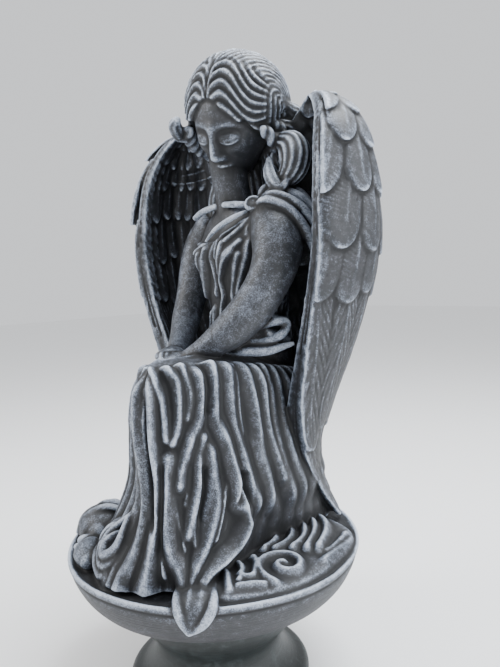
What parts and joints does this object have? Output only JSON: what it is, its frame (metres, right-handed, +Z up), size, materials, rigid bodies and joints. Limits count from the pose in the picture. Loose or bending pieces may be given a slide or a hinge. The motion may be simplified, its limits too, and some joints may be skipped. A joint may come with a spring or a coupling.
{
  "type": "garden statue",
  "caption": "Seated winged figure in a long gown on a round dished base, standing on a low turned pedestal.",
  "frame": {"origin": "centre of the pedestal's flat underside", "axes": "+Z up, -Y the way the seated figure faces, +X the figure's left"},
  "size_m": [0.3176, 0.3, 0.6437],
  "materials": {
    "brushed_stone": "charcoal cast stone, dry-brushed silver blue on every ridge, satin",
    "dark_stone": "plain dark cast stone, faintly green, satin"
  },
  "bodies": {
    "root": {"angel": "brushed_stone", "pedestal": "dark_stone"}
  },
  "joints": []
}
